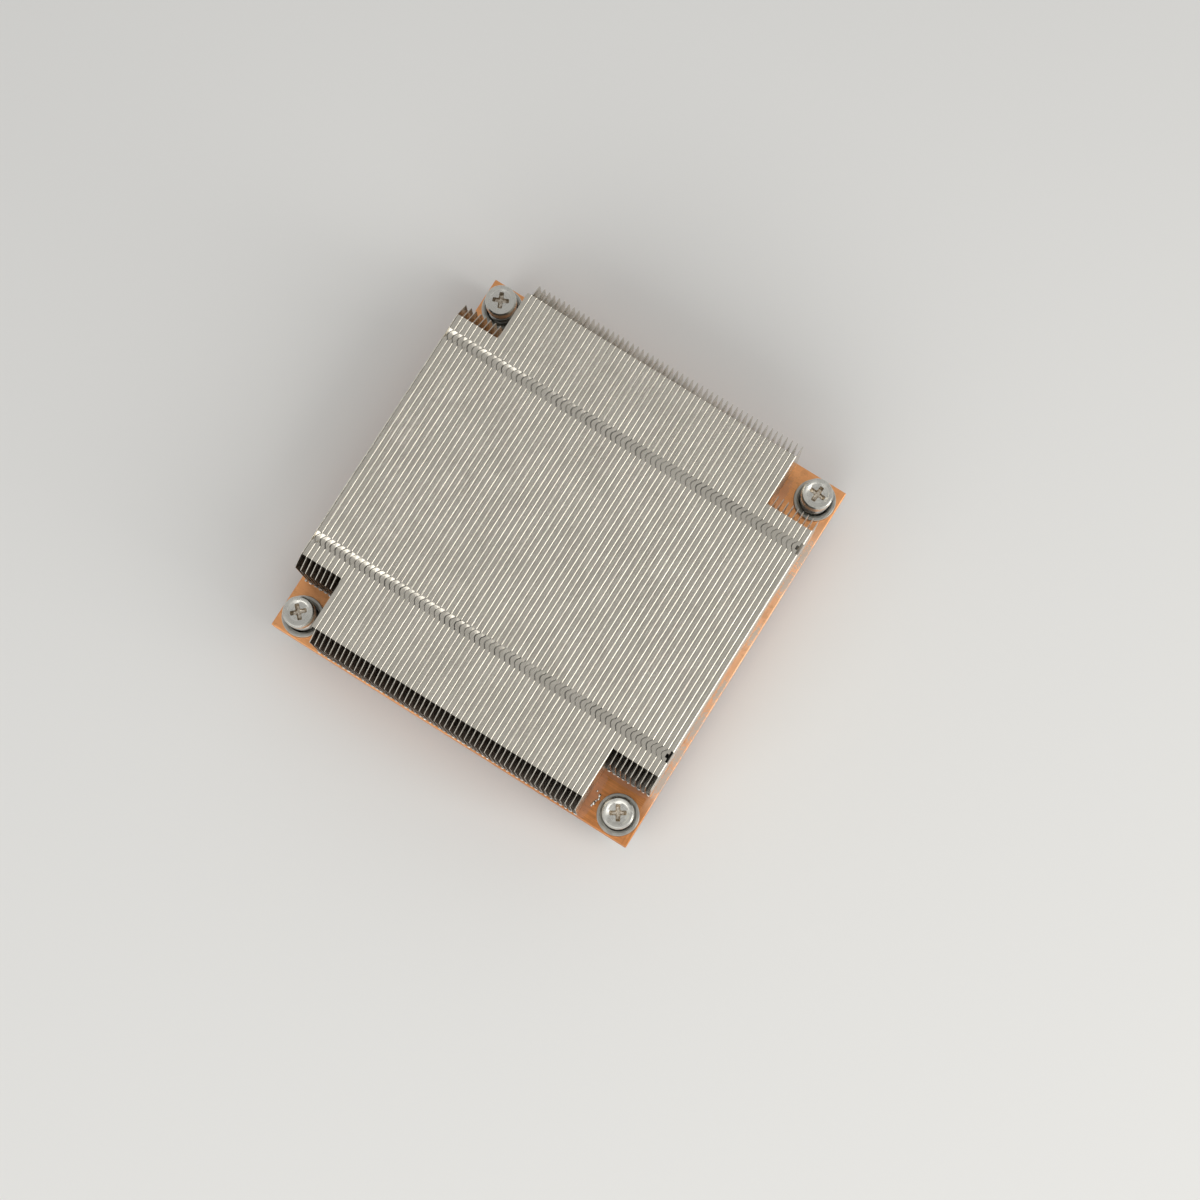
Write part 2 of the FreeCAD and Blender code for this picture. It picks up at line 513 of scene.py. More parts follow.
@dataclass(frozen=True)
class CopperFinish:
    """Milled copper with fine lines, a little tarnish, and smears of solder beside the fins."""

    bright: Colour = (1.0, 0.50, 0.22)
    deep: Colour = (0.85, 0.385, 0.16)
    front_right_bright: Colour = (0.84, 0.36, 0.13)
    front_right_deep: Colour = (0.47, 0.185, 0.065)
    margin_tone: Colour = (1.0, 0.66, 0.46)
    tarnish: Colour = (0.40, 0.16, 0.07)
    solder: Colour = (0.55, 0.53, 0.50)
    flux: Colour = (0.64, 0.33, 0.22)
    top_z: float = 5.0
    right_margin: float = 43.4
    margin_ends: Pair = (39.0, 33.0)
    margin_share: float = 0.45
    front_right_reach: Pair = (30.0, 76.0)
    tarnish_share: float = 0.22
    flux_share: float = 0.5
    solder_share: float = 0.8
    roughness: Pair = (0.36, 0.5)
    relief: float = 0.008
    smears: tuple[Smear, ...] = (
        Smear((44.4, 28.5), (0.8, 3.2)),
        Smear((44.3, 21.5), (0.7, 2.8)),
        Smear((44.3, 8.0), (0.5, 2.4)),
        Smear((44.4, -6.0), (0.5, 3.0)),
        Smear((44.3, -15.0), (0.7, 3.6)),
        Smear((44.2, -22.5), (0.8, 2.4)),
        Smear((44.3, -29.2), (0.8, 3.4)),
    )
    films: tuple[Smear, ...] = (
        Smear((33.2, -39.5), (1.3, 6.6), 2.2),
        Smear((33.4, 35.0), (1.1, 6.6), 2.2),
        Smear((38.0, -33.5), (6.5, 0.8), 1.6),
    )

    def material(self) -> Material:
        """Makes the material.

        Returns:
            The finished material.
        """
        sheet = MetalSheet("milled_copper")
        across = sheet.mask(brushed_lines(), Lines_per_mm=(0.22, 6.0, 0.6))
        along = sheet.mask(brushed_lines(), Lines_per_mm=(7.0, 0.25, 0.6))
        clouds = sheet.mask(cloudy_tone(), Clouds_per_mm=0.3)
        scratches = sheet.mask(fine_scratches(), Scratches_per_mm=0.7)
        x, y, z = sheet.place()
        on_top = sheet.ramp(z, self.top_z - 0.4, self.top_z - 0.2)
        margin = sheet.ramp(x, self.right_margin - 0.2, self.right_margin + 0.2)
        between = sheet.ramp(sheet.math("ABSOLUTE", y), *self.margin_ends)
        lines = sheet.add("Mix", {0: margin, 2: across, 3: along}, data_type="FLOAT").outputs[0]
        tone = sheet.weighed((lines, 0.6), (clouds, 0.4))
        fresh = sheet.blend(tone, opaque(self.deep), opaque(self.bright))
        darker_finish = sheet.blend(tone, opaque(self.front_right_deep), opaque(self.front_right_bright))
        film = sheet.math("MULTIPLY", self.joined(sheet, self.films), on_top)
        solder = sheet.math("MULTIPLY", self.joined(sheet, self.smears), on_top)
        layers = (
            (sheet.math("MULTIPLY", margin, between), self.margin_share, self.margin_tone),
            (sheet.ramp(clouds, 0.8, 1.0), self.tarnish_share, self.tarnish),
            (film, self.flux_share, self.flux),
            (solder, self.solder_share, self.solder),
        )
        # The copper is coloured darker and browner towards the front right corner.
        colour = sheet.blend(self.front_right(sheet, x, y), fresh, darker_finish)
        for mask, share, tint in layers:
            colour = sheet.blend(sheet.math("MULTIPLY", mask, share), colour, opaque(tint))
        rough = sheet.ramp(lines, 0.0, 1.0, *self.roughness)
        rough = sheet.weighed((rough, 1.0), (solder, 0.1), (scratches, -0.1))
        return sheet.surface(colour, rough, sheet.weighed((lines, 1.0), (solder, 1.5)), self.relief)

    def front_right(self, sheet: MetalSheet, x: Socket, y: Socket) -> Socket:
        """A mask of the front right corner, where the copper is coloured darker."""
        return sheet.ramp(sheet.math("SUBTRACT", x, y), *self.front_right_reach)

    def joined(self, sheet: MetalSheet, smears: Iterable[Smear]) -> Socket:
        """One mask for several smears.

        Args:
            sheet: The sheet that they are placed on.
            smears: The smears.

        Returns:
            The mask's socket.
        """
        mask: Any = 0.0
        for smear in smears:
            patch = sheet.mask(
                ragged_patch(),
                Centre=(*smear.centre, self.top_z),
                Half_size=(*smear.half_size, 100.0),
                Raggedness=smear.raggedness,
            )
            mask = sheet.math("MAXIMUM", patch, mask)
        return mask


@dataclass(frozen=True)
class TurnedMetalFinish:
    """Turned or drawn metal with fine rings round its axis."""

    name: str
    light: Colour
    dark: Colour
    rings_per_mm: float
    roughness: Pair = (0.28, 0.4)
    relief: float = 0.004

    def material(self, label: str, axis: Point) -> Material:
        """Makes the finish for a piece in one corner.

        Args:
            label: The corner's name.
            axis: A point of the piece's axis.

        Returns:
            The finished material.
        """
        sheet = MetalSheet(f"{self.name}_{label}")
        rings = sheet.mask(turned_rings(), Axis=axis, Rings_per_mm=self.rings_per_mm)
        clouds = sheet.mask(cloudy_tone(), Clouds_per_mm=0.7)
        scratches = sheet.mask(fine_scratches(), Scratches_per_mm=1.5)
        tone = sheet.weighed((rings, 0.7), (clouds, 0.3))
        colour = sheet.blend(tone, opaque(self.dark), opaque(self.light))
        rough = sheet.ramp(clouds, 0.0, 1.0, *self.roughness)
        rough = sheet.weighed((rough, 1.0), (scratches, 0.15))
        return sheet.surface(colour, rough, rings, self.relief)


@dataclass(frozen=True)
class CloudyFinish:
    """Uneven metal whose tone, gloss and relief go with the same clouds."""

    name: str
    light: Colour
    dark: Colour
    clouds_per_mm: float
    roughness: Pair
    relief: float

    def material(self) -> Material:
        """Makes the material.

        Returns:
            The finished material.
        """
        sheet = MetalSheet(self.name)
        clouds = sheet.mask(cloudy_tone(), Clouds_per_mm=self.clouds_per_mm)
        colour = sheet.blend(clouds, opaque(self.dark), opaque(self.light))
        rough = sheet.ramp(clouds, 0.0, 1.0, *self.roughness)
        return sheet.surface(colour, rough, clouds, self.relief)


CUP_STEEL = TurnedMetalFinish("cup_steel", (0.68, 0.675, 0.64), (0.48, 0.475, 0.44), 3.0)
SPRING_STEEL = TurnedMetalFinish("spring_steel", (0.62, 0.61, 0.58), (0.42, 0.41, 0.39), 9.0)
NICKEL_PLATE = TurnedMetalFinish(
    "nickel_plate", (0.79, 0.78, 0.73), (0.60, 0.59, 0.54), 4.0, (0.26, 0.38)
)
RING_STEEL = TurnedMetalFinish(
    "ring_steel", (0.46, 0.45, 0.44), (0.28, 0.27, 0.26), 4.0, (0.3, 0.4)
)
TIN_SOLDER = CloudyFinish(
    "tin_solder", (0.86, 0.84, 0.80), (0.55, 0.52, 0.48), 1.6, (0.34, 0.2), 0.03
)
WORN_RECESS = CloudyFinish(
    "worn_recess", (0.74, 0.68, 0.58), (0.42, 0.355, 0.28), 2.2, (0.5, 0.34), 0.02
)


@dataclass(frozen=True)
class FloorFinish:
    """A plain pale floor."""

    colour: Colour = (0.74, 0.74, 0.73)

    def material(self) -> Material:
        """Makes the material."""
        sheet = MetalSheet("pale_floor", metallic=0.0)
        return sheet.surface(opaque(self.colour), 0.85)


# ---------------------------------------------------------------- bench


def put_down() -> None:
    """Leaves edit mode and deselects everything."""
    if bpy.context.object and bpy.context.object.mode != "OBJECT":
        bpy.ops.object.mode_set(mode="OBJECT")
    bpy.ops.object.select_all(action="DESELECT")


class Bench:
    """One mesh on the bench. It is shaped in millimetres and set down in metres."""

    def __init__(self, piece: Piece, name: str) -> None:
        """Takes up a mesh.

        Args:
            piece: The mesh object.
            name: The name that it gets.
        """
        self.piece = piece
        piece.name = name
        piece.data.name = name

    @classmethod
    def start(
        cls,
        name: str,
        size: Point,
        centre: Point,
        turn: Point = (0.0, 0.0, 0.0),
        flat: bool = False,
    ) -> "Bench":
        """Starts from a block or a flat sheet.

        Args:
            name: The piece's name.
            size: Its size before it is turned.
            centre: Where its middle is.
            turn: How it is turned, in radians.
            flat: Whether it is a sheet with no thickness.

        Returns:
            The bench with the new piece.
        """
        put_down()
        if flat:
            bpy.ops.mesh.primitive_plane_add(size=1.0)
        else:
            bpy.ops.mesh.primitive_cube_add(size=1.0)
        piece = bpy.context.object
        piece.scale, piece.rotation_euler, piece.location = size, turn, centre
        bpy.ops.object.transform_apply(location=True, rotation=True, scale=True)
        return cls(piece, name)

    @classmethod
    def from_point(cls, name: str, place: Point) -> "Bench":
        """Starts from one vertex, from which an outline is drawn in edit mode.

        Args:
            name: The piece's name.
            place: Where the vertex is.

        Returns:
            The bench, in edit mode with the vertex selected.
        """
        put_down()
        bpy.ops.mesh.primitive_plane_add(size=0.1, location=place)
        bpy.ops.object.transform_apply(location=True, rotation=True, scale=True)
        bench = cls(bpy.context.object, name)
        bpy.ops.object.mode_set(mode="EDIT")
        bpy.ops.mesh.select_mode(type="VERT")
        bpy.ops.mesh.select_all(action="SELECT")
        bpy.ops.mesh.merge(type="CENTER")
        return bench

    @classmethod
    def turned(
        cls, name: str, profile: list[Pair], steps: int = 56, edge: EdgeBreak = EdgeBreak.EASED
    ) -> "Bench":
        """Turns a closed outline about the Z axis.

        Args:
            name: The piece's name.
            profile: Radius and height of each point, in order.
            steps: How many flats the full turn has.
            edge: What is done to its sharp edges.

        Returns:
            The bench with the new piece.
        """
        here, *others = [Vector((radius, 0.0, height)) for radius, height in profile]
        bench = cls.from_point(name, here)
        for there in others:
            bpy.ops.mesh.extrude_region_move(TRANSFORM_OT_translate={"value": there - here})
            here = there
        if profile[0][0] > TINY or profile[-1][0] > TINY:
            bpy.ops.mesh.select_all(action="SELECT")
            bench.close_outline()
        bpy.ops.mesh.select_all(action="SELECT")
        bpy.ops.mesh.spin(steps=steps, angle=2 * math.pi, center=(0, 0, 0), axis=(0, 0, 1))
        bpy.ops.mesh.select_all(action="SELECT")
        bpy.ops.mesh.remove_doubles(threshold=TINY)
        bpy.ops.mesh.normals_make_consistent(inside=False)
        put_down()
        if edge is EdgeBreak.EASED:
            bench.ease(0.06, 2)
        return bench

    def close_outline(self) -> None:
        """Joins the two loose ends of an outline with an edge."""
        net = bmesh.from_edit_mesh(self.piece.data)
        for vertex in net.verts:
            vertex.select_set(len(vertex.link_edges) == 1)
        net.select_flush_mode()
        bmesh.update_edit_mesh(self.piece.data)
        bpy.ops.mesh.edge_face_add()

    def take_up(self) -> None:
        """Makes the piece the active one, in object mode."""
        put_down()
        self.piece.select_set(True)
        bpy.context.view_layer.objects.active = self.piece

    def select(self, kind: str, test: Test) -> int:
        """Selects faces, edges or vertices by a test, in edit mode.

        Args:
            kind: Which of "FACE", "EDGE" or "VERT" is tested.
            test: Says whether one of them is taken.

        Returns:
            How many are selected.
        """
        if self.piece.mode != "EDIT":
            self.take_up()
            bpy.ops.object.mode_set(mode="EDIT")
        bpy.ops.mesh.select_mode(type=kind)
        bpy.ops.mesh.select_all(action="DESELECT")
        net = bmesh.from_edit_mesh(self.piece.data)
        items = {"FACE": net.faces, "EDGE": net.edges, "VERT": net.verts}[kind]
        chosen = [item for item in items if test(item)]
        for item in chosen:
            item.select_set(True)
        net.select_flush_mode()
        bmesh.update_edit_mesh(self.piece.data)
        return len(chosen)

    def extrude(self, kind: str, test: Test, move: Point) -> None:
        """Extrudes the faces, edges or vertices that the test takes."""
        if self.select(kind, test):
            bpy.ops.mesh.extrude_region_move(TRANSFORM_OT_translate={"value": move})

    def cut(self, test: Test, through: Point, normal: Point, clear: bool = False) -> None:
        """Cuts the faces that the test takes with a plane.

        Args:
            test: Says which faces are cut.
            through: A point of the plane.
            normal: The plane's normal.
            clear: Whether the side that the normal points to is taken away.
        """
        if self.select("FACE", test):
            bpy.ops.mesh.bisect(
                plane_co=through,
                plane_no=Vector(normal).normalized(),
                clear_outer=clear,
                threshold=TINY,
            )

    def drop_faces(self, test: Test) -> None:
        """Takes away the faces that the test takes."""
        if self.select("FACE", test):
            bpy.ops.mesh.delete(type="FACE")

    def round_edges(self, test: Test, radius: float, segments: int) -> None:
        """Rounds edges.

        Args:
            test: Says which edges are rounded.
            radius: How far from the edge the rounding starts.
            segments: How many flats it has.
        """
        if self.select("EDGE", test):
            bpy.ops.mesh.bevel(
                offset=radius, segments=segments, affect="EDGES", clamp_overlap=False
            )

    def nudge(self, test: Test, move: Point) -> None:
        """Moves the vertices that the test takes."""
        if self.select("VERT", test):
            bpy.ops.transform.translate(value=move)

    def pinch(self, test: Test, scale: Point, centre: Point) -> None:
        """Scales the vertices that the test takes about a point."""
        if self.select("VERT", test):
            bpy.ops.transform.resize(value=scale, center_override=centre)

    def modify(self, kind: str, **settings: Any) -> None:
        """Adds a modifier and applies it.

        Args:
            kind: The modifier's type.
            settings: Its properties.
        """
        self.take_up()
        modifier = self.piece.modifiers.new(kind.lower(), kind)
        for name, value in settings.items():
            setattr(modifier, name, value)
        bpy.ops.object.modifier_apply(modifier=modifier.name)

    def ease(self, width: float, segments: int = 1, angle: float = 34.0) -> None:
        """Eases all sharp edges a little.

        Args:
            width: How wide the eased edge is.
            segments: How many flats it has.
            angle: How sharp an edge has to be, in degrees.
        """
        self.modify(
            "BEVEL",
            width=width,
            segments=segments,
            limit_method="ANGLE",
            angle_limit=math.radians(angle),
        )

    def cut_out(self, cutter: "Bench") -> None:
        """Takes another piece's shape out of this one.

        Args:
            cutter: The other piece, which is thrown away.
        """
        self.modify(
            "BOOLEAN",
            object=cutter.piece,
            operation="DIFFERENCE",
            solver="EXACT",
            material_mode="TRANSFER",
        )
        bpy.data.objects.remove(cutter.piece)

    def outward(self) -> None:
        """Merges doubles and turns all faces outwards."""
        self.select("FACE", lambda face: True)
        bpy.ops.mesh.remove_doubles(threshold=TINY)
        bpy.ops.mesh.normals_make_consistent(inside=False)
        put_down()

    def polish(self, angle: float = 32.0) -> None:
        """Smooths the shading, with flat faces kept flat.

        Args:
            angle: The sharpest edge that is smoothed, in degrees.
        """
        self.take_up()
        bpy.ops.object.shade_smooth_by_angle(angle=math.radians(angle))
        self.modify("WEIGHTED_NORMAL", keep_sharp=True, weight=80)

    def dress(self, material: Material, anew: bool = False) -> None:
        """Gives the whole piece one material, if it has none yet.

        Args:
            material: The finish.
            anew: Whether it takes the place of what the piece has.
        """
        if anew:
            self.piece.data.materials.clear()
        if not self.piece.data.materials:
            self.piece.data.materials.append(material)

    def copied(self, name: str, move: Point) -> "Bench":
        """A copy with its own mesh, moved to its place.

        Args:
            name: The copy's name.
            move: How far it is from this one.

        Returns:
            The bench with the copy.
        """
        twin = self.piece.copy()
        twin.data = self.piece.data.copy()
        twin.data.transform(Matrix.Translation(move))
        bpy.context.scene.collection.objects.link(twin)
        return Bench(twin, name)

    def moved(self, name: str, move: Point) -> "Bench":
        """The piece at its place, under its final name.

        Args:
            name: The name.
            move: How far it goes.

        Returns:
            The bench with the moved piece. This one is thrown away.
        """
        placed = self.copied(name, move)
        self.scrap()
        return placed

    def set_down(self, body: str, slot: str | None, *nodes: str) -> Piece:
        """Sets the finished piece down in metres, on its body.

        Args:
            body: The CAD body that it rides on.
            slot: The record's material slot, if it has one; not used.
            nodes: The CAD nodes that it stands for.

        Returns:
            The finished object.
        """
        put_down()
        self.piece.data.transform(Matrix.Scale(MILLIMETRE, 4))
        self.piece.data.update()
        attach(self.piece, body)
        if nodes:
            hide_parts(*nodes)
        LOG.info("%s: %d faces on %s", self.piece.name, len(self.piece.data.polygons), body)
        return self.piece

    def scrap(self) -> None:
        """Throws the piece away, once its copies are made."""
        put_down()
        bpy.data.objects.remove(self.piece)


def node_box(name: str) -> tuple[Vector, Vector]:
    """A CAD node's lowest and highest corner, in millimetres."""
    low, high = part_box(name)
    return low / MILLIMETRE, high / MILLIMETRE


def middle_of(face: bmesh.types.BMFace) -> Vector:
    """A face's middle."""
    return face.calc_center_median()


def edge_at(edge: bmesh.types.BMEdge, axis: int, value: float) -> bool:
    """Whether both ends of an edge lie at one value along an axis."""
    return all(abs(vertex.co[axis] - value) < 10 * TINY for vertex in edge.verts)


def wall_edge_at(edge: bmesh.types.BMEdge, z: float) -> bool:
    """Whether an edge lies at one height in the plane of a fin's wall."""
    return edge_at(edge, 2, z) and edge_at(edge, 0, 0.0)


# ---------------------------------------------------------------- fins


@dataclass(frozen=True)
class HookOutline:
    """The tapered outline of a window and of its tongue, in millimetres from the fold."""

    wide: float = 0.4
    end: float = 1.0
    half: float = 1.3
    shoulder: float = 1.12
    tip: float = 0.3

    def inside(self, deep: float, away: float) -> bool:
        """Whether a place lies inside the outline.

        Args:
            deep: How far the place is from the fold.
            away: How far it is from the row's middle.

        Returns:
            True inside.
        """
        if deep < self.wide:
            return away < self.half
        share = (self.end - deep) / (self.end - self.wide)
        return deep < self.end and away < self.tip + (self.shoulder - self.tip) * share

    def slimmer(self, slack: float) -> "HookOutline":
        """The same outline with a little less all round."""
        sizes = (self.wide, self.end, self.half, self.shoulder)
        return HookOutline(*(size - slack for size in sizes), self.tip - slack / 2)


@dataclass
class FinShape:
    """The sizes of one folded fin, in millimetres, with its wall's right face at x = 0."""

    length: float
    foot_z: float = 5.0
    top_z: float = 27.0
    sheet: float = 0.15
    pitch: float = 1.225
    gap: float = 0.02
    fold_radius: float = 0.28
    fold_steps: int = 5
    nose_run: float = 3.0
    nose_drop: float = 2.2
    row: float = 25.4
    row_lines: tuple[float, ...] = (0.0, 0.3, 0.6, 0.9, 1.18, 1.3)
    crease: float = 0.85
    tongue_drop: float = 0.09
    edge_ease: float = 0.06
    window: HookOutline = HookOutline()
    tongue: HookOutline = HookOutline().slimmer(0.11)
    flanged: bool = True

    @property
    def half(self) -> float:
        """Half of the fin's length."""
        return self.length / 2

    @property
    def edge_x(self) -> float:
        """Where the flange's free edge is."""
        return self.gap - self.pitch

    def in_row(self, y: float, reach: float) -> bool:
        """Whether a place along the fin is within reach of one of the two rows."""
        return abs(abs(y) - self.row) < reach

    def build(self, name: str) -> Bench:
        """Models the fin as a bent sheet and then gives it its thickness.

        Args:
            name: The piece's name.

        Returns:
            The bench with the fin.
        """
        height = self.top_z - self.foot_z
        middle = (0.0, 0.0, (self.top_z + self.foot_z) / 2)
        size, upright = (height, self.length, 1.0), (0.0, math.pi / 2, 0.0)
        fin = Bench.start(name, size, middle, upright, flat=True)
        if self.flanged:
            self.fold(fin)
        for side in (-1, 1):
            shoulder = (0.0, side * self.half, self.top_z - self.nose_drop)
            slope = (0.0, side * self.nose_drop, self.nose_run)
            fin.cut(lambda face: True, shoulder, slope, clear=True)
            for away in self.row_lines:
                for way in (-1, 1):
                    fin.cut(self.on_top, (0.0, side * self.row + way * away, 0.0), (0.0, 1.0, 0.0))
        if self.flanged:
            fin.cut(self.on_row, (-self.crease, 0.0, 0.0), (1.0, 0.0, 0.0))
            self.trim(fin, self.window, 0.0)
            self.draw_tongues(fin)
        self.face_right(fin)
        fin.modify("SOLIDIFY", thickness=self.sheet, offset=-1.0, use_even_offset=False)
        if not self.flanged:
            fin.ease(self.edge_ease, 2)
        fin.polish(40.0)
        return fin

    def fold(self, fin: Bench) -> None:
        """Folds the top flange and the foot over to the left.

        Args:
            fin: The flat wall.
        """
        for z in (self.top_z, self.foot_z):
            fin.extrude("EDGE", lambda edge: wall_edge_at(edge, z), (self.edge_x, 0.0, 0.0))
        for z, steps in ((self.top_z, self.fold_steps), (self.foot_z, 2)):
            fin.round_edges(lambda edge: wall_edge_at(edge, z), self.fold_radius, steps)

    def on_top(self, face: bmesh.types.BMFace) -> bool:
        """Whether a face belongs to the flange or to its fold, or to the wall of a flat fin."""
        return middle_of(face).z > self.top_z - self.fold_radius or not self.flanged

    def on_row(self, face: bmesh.types.BMFace) -> bool:
        """Whether a face of the flange lies in one of the two rows."""
        return self.on_top(face) and self.in_row(middle_of(face).y, self.window.half)

    def trim(self, fin: Bench, outline: HookOutline, zero: float) -> None:
        """Cuts the windows from the flange, or what lies beside the tongues from its edge.

        Args:
            fin: The fin.
            outline: The outline of the windows or tongues.
            zero: The fold that the outline is measured from: the neighbour's for the tongues.
        """

        def here(face: bmesh.types.BMFace) -> bool:
            """Whether a face is of the flange, or of what was drawn out for a tongue."""
            return self.on_row(face) and (middle_of(face).x < self.edge_x) == (zero < 0.0)

        def unwanted(face: bmesh.types.BMFace) -> bool:
            """Whether a face lies in a window or beside a tongue."""
            away = abs(abs(middle_of(face).y) - self.row)
            return here(face) and outline.inside(zero - middle_of(face).x, away) == (zero == 0.0)

        def beside(face: bmesh.types.BMFace) -> bool:
            """Whether a face lies on the side of a row that is being cut."""
            return here(face) and 0.0 < way * (middle_of(face).y - side * self.row) < outline.half

        for deep in (outline.wide, outline.end):
            fin.cut(here, (zero - deep, 0.0, 0.0), (1.0, 0.0, 0.0))
        for side in (-1, 1):
            for way in (-1, 1):
                slope = (outline.shoulder - outline.tip, -way * (outline.end - outline.wide), 0.0)
                through = (zero - outline.end, side * self.row + way * outline.tip, 0.0)
                fin.cut(beside, through, slope)
        fin.drop_faces(unwanted)

    def draw_tongues(self, fin: Bench) -> None:
        """Draws out the two tongues from the flange's free edge.

        Args:
            fin: The fin.
        """
        reach = self.tongue.end - self.gap

        def along(edge: bmesh.types.BMEdge) -> bool:
            """Whether an edge is the flange's free edge within a row.

            Args:
                edge: The edge.

            Returns:
                True on the free edge.
            """
            spot = (edge.verts[0].co + edge.verts[1].co) / 2
            at_top = edge_at(edge, 0, self.edge_x) and spot.z > self.top_z - 0.5
            return at_top and self.in_row(spot.y, self.window.half)

        def end_of_tongue(vertex: bmesh.types.BMVert) -> bool:
            """Whether a vertex is at the end of the tongue that is being narrowed."""
            away = abs(vertex.co.y - side * self.row)
            return vertex.co.x < self.edge_x - 0.1 and away < self.window.half + 0.1

        fin.extrude("EDGE", along, (-reach, 0.0, -self.tongue_drop))
        narrowed = (1.0, self.tongue.half / self.window.half, 1.0)
        for side in (-1, 1):
            fin.pinch(end_of_tongue, narrowed, (0.0, side * self.row, 0.0))
        self.trim(fin, self.tongue, -self.pitch)

    def face_right(self, fin: Bench) -> None:
        """Turns the sheet's outer side to the right and upwards.

        Args:
            fin: The fin, before it has its thickness.
        """
        fin.select("FACE", lambda face: True)
        bpy.ops.mesh.normals_make_consistent(inside=False)
        net = bmesh.from_edit_mesh(fin.piece.data)
        wall = max(net.faces, key=lambda face: face.calc_area())
        if wall.normal.x < 0:
            bpy.ops.mesh.flip_normals()
        put_down()
        fin.select("FACE", self.faces_down)
        bpy.ops.mesh.flip_normals()
        put_down()

    def faces_down(self, face: bmesh.types.BMFace) -> bool:
        """Whether a face at the top has its outer side turned down."""
        return middle_of(face).z > self.top_z - 0.2 and face.normal.z < -0.5


@dataclass(frozen=True)
class RowPress:
    """How a press tool closes the two rows: a groove, deeper towards the stack's left side."""

    left_depth: float = 0.5
    right_depth: float = 0.04
    half_stack: float = 43.6
    levels: int = 12
    fall_off: float = 0.8
    band: float = 0.1
    reach: float = 1.35
    sheet_z: float = 26.2
    fold_z: float = 26.0
    bulge_x: Pair = (-1.3, -0.8)
    groove: tuple[Pair, ...] = (
        (-1.34, 0.0),
        (-1.1, 0.2),
        (-0.9, 0.42),
        (-0.6, 0.8),
        (-0.3, 1.0),
        (0.0, 0.98),
        (0.3, 0.86),
        (0.6, 0.64),
        (0.9, 0.38),
        (1.2, 0.1),
        (1.34, 0.0),
    )
    bulge: tuple[Point, ...] = ((-0.7, -0.5, 0.2), (-0.96, -0.8, 0.36), (-1.24, -1.1, -0.18))

    def depth_at(self, x: float) -> float:
        """How deep the groove is at one place along the stack."""
        share = min(max((x + self.half_stack) / (2 * self.half_stack), 0.0), 1.0)
        return self.left_depth + (self.right_depth - self.left_depth) * share**self.fall_off

    def level_at(self, x: float, share: float) -> int:
        """The nearest of the tool's settings for a place, with a share more or less."""
        level = round(self.depth_at(x) * share / self.left_depth * self.levels)
        return min(max(level, 1), self.levels)

    def shape_at(self, away: float) -> float:
        """How deep the groove is across the row.

        Args:
            away: The place across the row, from its middle.

        Returns:
            From 0 at the groove's sides to 1 where it is deepest.
        """
        for (start, low), (end, high) in zip(self.groove, self.groove[1:]):
            if start <= away < end:
                return low + (high - low) * (away - start) / (end - start)
        return 0.0

    def apply(self, fin: Bench, level: int) -> None:
        """Presses both rows of a fin at x = 0.

        Args:
            fin: The fin.
            level: The tool's setting, from 1 to its number of levels.
        """

        def in_band(vertex: bmesh.types.BMVert) -> bool:
            """Whether a vertex is in the band that is being pressed."""
            return vertex.co.z > self.sheet_z and low <= vertex.co.y - row < low + self.band

        def in_bulge(vertex: bmesh.types.BMVert) -> bool:
            """Whether a vertex is in the bulge that the press leaves on a tongue."""
            beside = vertex.co.z > self.fold_z and self.bulge_x[0] < vertex.co.x < self.bulge_x[1]
            return beside and low <= vertex.co.y - row < high

        depth = self.left_depth * level / self.levels
        for row in (-FinShape.row, FinShape.row):
            for step in range(round(2 * self.reach / self.band)):
                low = -self.reach + step * self.band
                fin.nudge(in_band, (0.0, 0.0, -depth * self.shape_at(low + self.band / 2)))
            for low, high, part in self.bulge:
                fin.nudge(in_bulge, (0.0, 0.0, depth * part))


